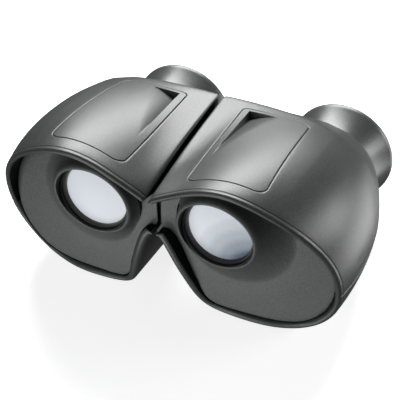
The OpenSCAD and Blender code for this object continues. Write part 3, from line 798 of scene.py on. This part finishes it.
PAD_GAP = 0.12
PAD_EDGE_R = 0.22
PAD_T = 1.1
# Grid lines at the pad's edges and at the scoop's wall, and the spacing between and the least of all
EDGE_LINES = [0, 0.05, 0.12, 0.22, 0.35, 0.6]
WALL_LINES = [-0.3, -0.12, -0.05, 0.01, 0.07, 0.14, 0.3]
LINES_FROM, LINE_SPACING, LEAST_SPACING = 1.1, 0.75, 0.04


def pad_lines(size, wall_at):
    """Grid lines along one side of the pad, in shares: close together at the edges and at the scoop's wall."""
    places = EDGE_LINES + [size - s for s in EDGE_LINES] + [wall_at + d for d in WALL_LINES]
    places += list(np.linspace(LINES_FROM, size - LINES_FROM, int(size / LINE_SPACING)))
    places = sorted(places)
    kept = [places[0]]
    for s in places[1:]:
        if s - kept[-1] > LEAST_SPACING:
            kept.append(s)
    return np.array(kept) / size


def top_pad(half):
    """The inlaid pad, flush with the cover, with a rounded edge and the thumb scoop."""
    f = pad_lines(PAD_W, SCOOP_INNER)
    g = pad_lines(PAD_H, PAD_H - SCOOP_BACK)
    p0, q0 = np.meshgrid(f, g, indexing="ij")
    p, q = rounded(p0, q0, PAD_GAP)
    to_edge = np.minimum(np.minimum(p0, 1 - p0) * PAD_W, np.minimum(q0, 1 - q0) * PAD_H)
    lack = np.clip(PAD_EDGE_R - to_edge, 0, PAD_EDGE_R)
    round_off = PAD_EDGE_R - np.sqrt(PAD_EDGE_R ** 2 - lack ** 2)
    pit = scoop(p0, q0)
    shape = Shape()
    top = shape.add(on_pad(p, q, round_off + pit))
    bottom = shape.add(on_pad(p, q, PAD_T + pit))
    shape.sheet(top)
    shape.sheet(bottom)
    shape.sheet(np.stack([rim_of(top), rim_of(bottom)]), wrap_cols=True)
    make(shape, half, "pad", "half", "top_pad", "pad", [PAD], 50)


# --- Front panel with the flared objective ring ---

# The lip leans by 10 degrees, upper edge forwards. The flare's foot is a circle of its own, which keeps off
# the lip and off the panel's edge.
LIP_LEAN = math.tan(math.radians(10))
LIP_R = 13.4
THROAT_R = 12.9
FLARE_CENTRE = np.array([27, -4])
FLARE_R = 19
FLARE_FOOT_MIN = 16.4
FLARE_EDGE_GAP = 1.2
FLARE_POWER = 1.8
FLARE_SHARES = np.linspace(0.07, 1, 16)
# The first rows of the throat carry painted shade, and so do the last rows of the panel's edge along the split:
# up to the column SPLIT_END and over the last APEX_COLUMNS
THROAT_ROWS = 4
SPLIT_ROWS = 3
SPLIT_END = 2
APEX_COLUMNS = 0.7
# The panel's flat between the flare's foot and its rounded edge, as shares, and that edge as (inset, drop)
FLAT_SHARES = (0.02, 0.05, 0.1, 0.2, 0.35, 0.5, 0.65, 0.8, 0.92)
FLAT_END = 0.4
PANEL_EDGE = ((0.4, 0), (0.25, 0.03), (0.12, 0.1), (0.03, 0.22), (0, 0.4), (0, PANEL_T))
# The panel's back, which runs just behind the thickness of the edge; the flare's wall grows towards the throat
BACK_INSET, BACK_DROP = 0.1, 0.01
BACK_SHARES, BACK_START, BACK_GROW = (0.8, 0.5, 0.2), 1.6, 1.2
PANEL_COLUMNS = 260
PANEL_END = 17.9
# The lip's outline from inside the throat to the flare's start, and the throat's outside, as (radius beyond
# THROAT_R, y)
LIP_PROFILE = [(0, 5.6), (0, 3.2), (0, 1.4), (0.02, 0.45), (0.1, 0.2), (0.28, 0.04), (0.5, 0), (0.76, 0.08),
               (1.05, 0.32), (1.4, 0.75)]
THROAT_OUTSIDE = ((1.35, 3.4), (1.3, 5.6))


def front_panel(half):
    """The front panel as one closed sheet, column by column from the throat to its edge and back."""
    c = np.linspace(0, PANEL_END, PANEL_COLUMNS)
    edge = panel_edge(c)
    d, reach = unit(edge - LENS), np.linalg.norm(edge - LENS, axis=-1)
    lip_y = -LIP_R * d[:, 1] * LIP_LEAN
    away = FLARE_CENTRE - LENS
    b = d @ away
    foot = np.minimum(b + np.sqrt(FLARE_R ** 2 - away @ away + b * b), reach - FLARE_EDGE_GAP)
    foot = np.maximum(foot, FLARE_FOOT_MIN)

    def at(radius, y):
        return lift(LENS + d * (radius + 0 * lip_y)[:, None], y)

    def on_face(radius, behind=0.0):
        return at(radius, panel_y(LENS + d * radius[:, None]) + behind)

    def on_flare(radius, s, behind=0.0):
        return at(radius, mix(panel_y(LENS + d * radius[:, None]), start_y, (1 - s) ** FLARE_POWER) + behind)

    front = [at(THROAT_R + r, lip_y + y) for r, y in LIP_PROFILE]
    start_r, start_y = THROAT_R + LIP_PROFILE[-1][0], lip_y + LIP_PROFILE[-1][1]
    front += [on_flare(mix(start_r, foot, s), s) for s in FLARE_SHARES]
    front += [on_face(mix(foot, reach - FLAT_END, s)) for s in FLAT_SHARES]
    front += [on_face(reach - inset, drop) for inset, drop in PANEL_EDGE]
    back_radii = (reach - BACK_INSET, mix(foot, reach, 0.5), mix(foot, reach, 0.1))
    back = [on_face(radius, PANEL_T + BACK_DROP) for radius in back_radii]
    for s in BACK_SHARES:
        back.append(on_flare(mix(start_r + BACK_START, foot, s), s, PANEL_T + BACK_GROW * (1 - s)))
    back += [at(THROAT_R + r, lip_y + y) for r, y in THROAT_OUTSIDE]
    shape = Shape()
    grid = shape.add(np.stack(front + back, 1))
    marks = np.zeros(grid.shape, int)
    # Painted shade in the throat and along the split
    marks[:, :THROAT_ROWS] = 1
    split = (c < SPLIT_END) | (c > LAST_COLUMN - APEX_COLUMNS)
    marks[split, len(front) - SPLIT_ROWS:] = 1
    shape.sheet(grid, wrap_rows=True, wrap_cols=True, marks=marks)
    make(shape, half, "face", "half", "front_panel", "panel", [PANEL, PAINTED_SHADE])


# --- Objective and eyepiece ---

def bulge(radius, sphere_r, vertex_y, sign, steps=24):
    """Outline of a lens face from its middle to its edge; sign is 1 where it curves away towards +y."""
    rs = np.linspace(0, radius, steps)
    return [(r, vertex_y + sign * (sphere_r - math.sqrt(sphere_r ** 2 - r * r))) for r in rs]


def lens(at, radius, front, back, *place_and_looks):
    """A lens from its two faces, each given as for bulge; the rest goes to make()."""
    make(turned(bulge(radius, *front) + bulge(radius, *back)[::-1], at), *place_and_looks, crease_angle=60)


# Closed outlines as (radius, y)
CELL = [(12.85, 2.0), (12.8, CELL_FRONT + 0.04), (12.5, CELL_FRONT), (12.32, 2.0), (12.3, 2.2), (12.3, 2.9),
        (12.08, 2.95), (12.08, 10.7), (11.2, 10.7), (11.2, 12), (11.6, 12), (11.6, 20.5), (14.6, 20.5),
        (14.6, 19.05), (12.7, 19.05)]
LENS_RING = [(12.03, 2.95), (11.98, 2.86), (11.8, 2.84), (11.66, 2.95), (11.6, 3.2), (11.52, 3.3),
             (11.45, 3.5), (11.4, 3.8), (11.4, 4.4), (12.03, 4.4)]


def objective(half):
    """The dark cell, the stepped ring that holds the glass, and the coated glass."""
    make(turned(CELL, LENS), half, "cell", "half", "objective_cell", "black_metal", [BLACK], 30)
    make(turned(LENS_RING, LENS), half, "lens_ring", "half", "objective_retainer", "black_metal", [RING], 30)
    lens(LENS, 12, (45, 3, 1), (38, 9, -1), half, "objective_glass", "half", "objective_crown",
         "objective_glass", [OBJECTIVE_GLASS[half]])


# The eyecup's foot is this much narrower than its rim, and starts at CUP_BASE_Y. The outside widens evenly in
# part and by CUP_FLARE_POWER for the rest.
CUP_TAPER = 2.7
CUP_BASE_Y = 75.6
CUP_STEPS = 16
CUP_FLARE, CUP_FLARE_POWER = 0.75, 1.7


def eyepiece(half):
    """The flared turning cup, with a rounded rim and a hollow for the eye, and the eye lens."""
    base_r = CUP_RIM_R - CUP_TAPER
    cup = [(13.2, 60.1), (13.2, CUP_BASE_Y), (base_r - 0.5, CUP_BASE_Y), (base_r - 0.15, CUP_BASE_Y + 0.12)]
    for s in np.linspace(0, 1, CUP_STEPS):
        widening = (1 - CUP_FLARE) * s + CUP_FLARE * s ** CUP_FLARE_POWER
        cup.append((mix(base_r, CUP_RIM_R, widening), mix(CUP_BASE_Y + 0.4, CUP_END - 1.6, s)))
    cup += arc((CUP_RIM_R - 0.8, CUP_END - 0.8), 0.8, 0, 90, 6)
    cup += arc((CUP_RIM_R - 0.95, CUP_END - 0.6), 0.6, 90, 165, 5)
    cup += [(CUP_RIM_R - 2.3, CUP_END - 3.4), (CUP_RIM_R - 3.6, CUP_END - 5.4), (14.2, 82.75), (13.6, 82.5),
            (12.35, 82.5), (12.05, 82.35), (11.97, 82), (11.97, 60.1)]
    make(turned(cup, EYE), half, "cup", "eyecup", "eyecup", "eyecup", [CUP], 30)
    lens(EYE, 10.7, (40, 73.4, 1), (34, 78.4, -1), half, "eye_glass", "eye_barrel", "eye_lens",
         "eye_glass", [EYE_GLASS])


for half in SIDES:
    upper_cover(half)
    lower_cover(half)
    top_pad(half)
    front_panel(half)
    objective(half)
    eyepiece(half)

# --- Materials of the CAD nodes that show as they are ---

NODE_MATERIALS = {"objective_flint": PRISM, "lens_plate": FRAME, "prism_plate": FRAME, "standoffs": STEEL,
                  "front_prism": PRISM, "rear_prism": PRISM, "front_clip": STEEL, "rear_clip": STEEL,
                  "frame_screws": STEEL, "hinge_bracket": HINGE, "cover_screws": STEEL, "eye_socket": BLACK,
                  "guide_pin": STEEL, "eye_barrel": BLACK, "field_lens": PRISM, "lens_spacer": BLACK,
                  "eye_retainer": BLACK, "cup_retainer": BLACK, "hinge_pin": STEEL, "hinge_washers": NYLON,
                  "hinge_caps": HINGE}
for node_name, node_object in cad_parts.items():
    plain = node_name.removeprefix("right_").removeprefix("left_")
    if plain in NODE_MATERIALS:
        node_object.data.materials.clear()
        node_object.data.materials.append(NODE_MATERIALS[plain])

# --- Floor, light and world ---

FLOOR_SIZE = 60
FLOOR_GLOW = 0.88
# The floor lies this far under the object, so that no face coincides with it
FLOOR_DROP = 0.00002


def floor_material():
    """Pale grey with a faint cloudiness and a glow of its own, which keeps it even."""
    material = bpy.data.materials.new("pale_floor")
    material.use_nodes = True
    nodes, links = material.node_tree.nodes, material.node_tree.links
    shader = nodes["Principled BSDF"]
    place, cloud, tone = [nodes.new("ShaderNode" + k) for k in ("TexCoord", "TexNoise", "ValToRGB")]
    cloud.inputs["Scale"].default_value = 3
    tone.color_ramp.elements[0].color = (0.88, 0.88, 0.88, 1)
    tone.color_ramp.elements[1].color = (0.92, 0.92, 0.92, 1)
    links.new(place.outputs["Object"], cloud.inputs["Vector"])
    links.new(cloud.outputs["Fac"], tone.inputs["Fac"])
    links.new(tone.outputs["Color"], shader.inputs["Base Color"])
    shader.inputs["Roughness"].default_value = 0.9
    shader.inputs["Specular IOR Level"].default_value = 0.1
    links.new(tone.outputs["Color"], shader.inputs["Emission Color"])
    shader.inputs["Emission Strength"].default_value = FLOOR_GLOW
    return material


floor_mesh = bpy.data.meshes.new("floor")
reach = FLOOR_SIZE / 2
corners = [(-reach, -reach, 0), (reach, -reach, 0), (reach, reach, 0), (-reach, reach, 0)]
floor_mesh.from_pydata(corners, [], [(0, 1, 2, 3)])
floor = bpy.data.objects.new("floor", floor_mesh)
bpy.context.scene.collection.objects.link(floor)
floor_mesh.materials.append(floor_material())
floor.location.z = CAD_BOX[0][2] - FLOOR_DROP
# The floor neither stops the lamps below it nor shows in the gloss
floor.visible_diffuse = False
floor.visible_glossy = False
floor.visible_shadow = False

AIM = Vector((0, 0, 0.035))
WORLD_STRENGTH = 0.05


def softbox(name, azimuth, elevation, distance, width, height, power):
    """An area light that faces AIM, the middle of the object; its azimuth is counted as the camera's is."""
    a, e = math.radians(azimuth), math.radians(elevation)
    away = Vector((math.sin(a) * math.cos(e), -math.cos(a) * math.cos(e), math.sin(e)))
    data = bpy.data.lights.new(name, "AREA")
    data.shape = "RECTANGLE"
    data.size, data.size_y, data.energy = width, height, power
    light = bpy.data.objects.new(name, data)
    bpy.context.scene.collection.objects.link(light)
    light.location = AIM + away * distance
    light.rotation_mode = "QUATERNION"
    light.rotation_quaternion = away.to_track_quat("Z", "Y")


softbox("back_light", 204, 44, 0.9, 0.7, 0.45, 13)
softbox("right_light", 125, 10, 0.9, 0.45, 0.3, 3)
softbox("front_fill", -12, 4, 1.0, 0.5, 0.5, 3.5)
softbox("table_glow_right", 142, -20, 0.9, 0.6, 0.4, 2.4)
softbox("table_glow_front", -20, -40, 0.9, 0.7, 0.5, 2.8)

world = bpy.data.worlds.new("studio")
bpy.context.scene.world = world
world.use_nodes = True
background = world.node_tree.nodes["Background"]
background.inputs["Color"].default_value = (1, 1, 1, 1)
background.inputs["Strength"].default_value = WORLD_STRENGTH
bpy.context.scene.view_settings.view_transform = "Standard"
